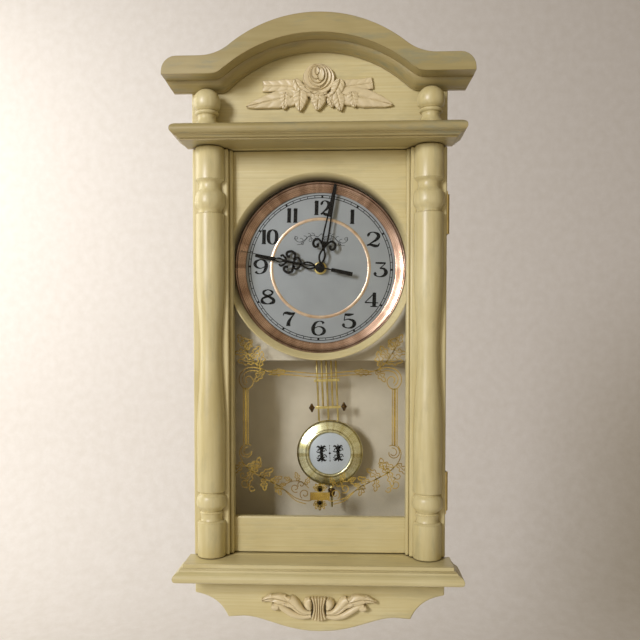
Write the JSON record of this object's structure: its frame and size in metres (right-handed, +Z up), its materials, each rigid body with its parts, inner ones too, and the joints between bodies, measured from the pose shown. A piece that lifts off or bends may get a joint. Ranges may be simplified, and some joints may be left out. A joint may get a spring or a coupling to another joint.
{
  "type": "pendulum wall clock",
  "caption": "Arched wooden wall clock with a hinged glazed door between turned columns, a round dial with three hands, a quartz movement and a swinging pendulum.",
  "frame": {"origin": "centre of the back panel's rear face, in the plane of the wall, on the case's centre line", "axes": "+X to the right seen from the front, +Y into the wall, +Z up"},
  "size_m": [0.312, 0.1255, 0.6335],
  "materials": {
    "painted_wood": "cream paint with an antique glaze, satin",
    "carving": "cream paint, satin",
    "liner_board": "pale printed liner, matt",
    "brass": "polished and lacquered",
    "bezel_metal": "rose gold, polished",
    "bronze": "antique bronze",
    "steel": "bright zinc plated",
    "dial_card": "satin silver-white print",
    "bob_insert": "satin white print",
    "hand_paint": "satin black paint",
    "glass": "clear float glass with a gold print",
    "housing": "moulded, fine texture",
    "gear_plastic": "moulded, natural",
    "copper_winding": "enamelled wire",
    "battery_wrap": "shrink sleeve",
    "magnet_case": "moulded"
  },
  "bodies": {
    "case": {"back_panel": "liner_board", "hanger_plate": "steel", "case_side_left": "painted_wood", "case_side_right": "painted_wood", "case_top": "painted_wood", "case_bottom": "painted_wood", "cornice": "painted_wood", "shelf": "painted_wood", "pediment_board": "painted_wood", "crown": "painted_wood", "finial_left": "painted_wood", "finial_right": "painted_wood", "apron_board": "painted_wood", "rose_carving": "carving", "scroll_carving": "carving", "hinge_leaf_case_upper": "brass", "hinge_leaf_case_lower": "brass", "hinge_pin_upper": "steel", "hinge_pin_lower": "steel", "catch_magnet": "magnet_case", "dial_board": "liner_board", "dial_plate": "dial_card", "bezel": "bezel_metal", "movement_front_shell": "housing", "movement_rear_shell": "housing", "mounting_nut": "brass", "motor_coil": "copper_winding", "contact_negative": "steel", "contact_positive": "steel"},
    "door": {"stile_left": "painted_wood", "stile_right": "painted_wood", "column_left": "painted_wood", "column_right": "painted_wood", "dial_mask": "painted_wood", "bottom_rail": "painted_wood", "door_glass": "glass", "hinge_leaf_door_upper": "brass", "hinge_leaf_door_lower": "brass", "catch_plate": "steel"},
    "hour_arbor": {"hour_hand": "hand_paint", "hour_wheel": "gear_plastic"},
    "minute_arbor": {"minute_hand": "hand_paint", "cannon_pinion": "brass"},
    "second_arbor": {"second_hand": "hand_paint"},
    "intermediate_arbor": {"minute_wheel": "gear_plastic"},
    "setting_arbor": {"setting_knob": "housing"},
    "battery": {"battery": "battery_wrap"},
    "pendulum": {"pendulum_strap": "brass", "pendulum_rod_1": "brass", "pendulum_rod_2": "brass", "pendulum_rod_3": "brass", "pendulum_rod_4": "brass", "pendulum_rod_5": "brass", "upper_crossbar": "brass", "lower_crossbar": "brass", "bar_knob_left": "bronze", "bar_knob_right": "bronze", "bob_shell": "brass", "bob_disc": "bob_insert"},
    "rating_nut": {"rating_nut": "brass"}
  },
  "joints": [
    {"name": "door_swing", "type": "hinge", "parent": "case", "child": "door", "pos_m": [0.1361, -0.05955, 0], "axis": [0, 0, 1], "range_deg": [0, 110]},
    {"name": "pendulum_swing", "type": "hinge", "parent": "case", "child": "pendulum", "pos_m": [0, -0.025, 0.122], "axis": [0, 1, 0], "range_deg": [-3.6, 8.4]},
    {"name": "rating_nut_turn", "type": "hinge", "parent": "pendulum", "child": "rating_nut", "pos_m": [0, -0.025, 0.122], "axis": [-0.0419, 0, 0.9991], "continuous": true},
    {"name": "minute_hand_turn", "type": "hinge", "parent": "case", "child": "minute_arbor", "pos_m": [0, -0.0574, 0.094], "axis": [0, 1, 0], "continuous": true},
    {"name": "hour_hand_turn", "type": "hinge", "parent": "case", "child": "hour_arbor", "pos_m": [0, -0.0556, 0.094], "axis": [0, 1, 0], "continuous": true},
    {"name": "minute_wheel_turn", "type": "hinge", "parent": "case", "child": "intermediate_arbor", "pos_m": [-0.008, -0.0344, 0.094], "axis": [0, 1, 0], "continuous": true},
    {"name": "setting_knob_turn", "type": "hinge", "parent": "case", "child": "setting_arbor", "pos_m": [-0.016, -0.0244, 0.094], "axis": [0, 1, 0], "continuous": true},
    {"name": "second_hand_turn", "type": "hinge", "parent": "case", "child": "second_arbor", "pos_m": [0, -0.0592, 0.094], "axis": [0, 1, 0], "continuous": true},
    {"name": "battery_slide", "type": "slide", "parent": "case", "child": "battery", "axis": [0, 1, 0], "range_m": [0, 0.03]}
  ],
  "couplings": [
    {"joint": "hour_hand_turn", "follows": "minute_hand_turn", "ratio": 0.083333},
    {"joint": "minute_wheel_turn", "follows": "minute_hand_turn", "ratio": -0.33333},
    {"joint": "setting_knob_turn", "follows": "minute_hand_turn", "ratio": 1}
  ]
}
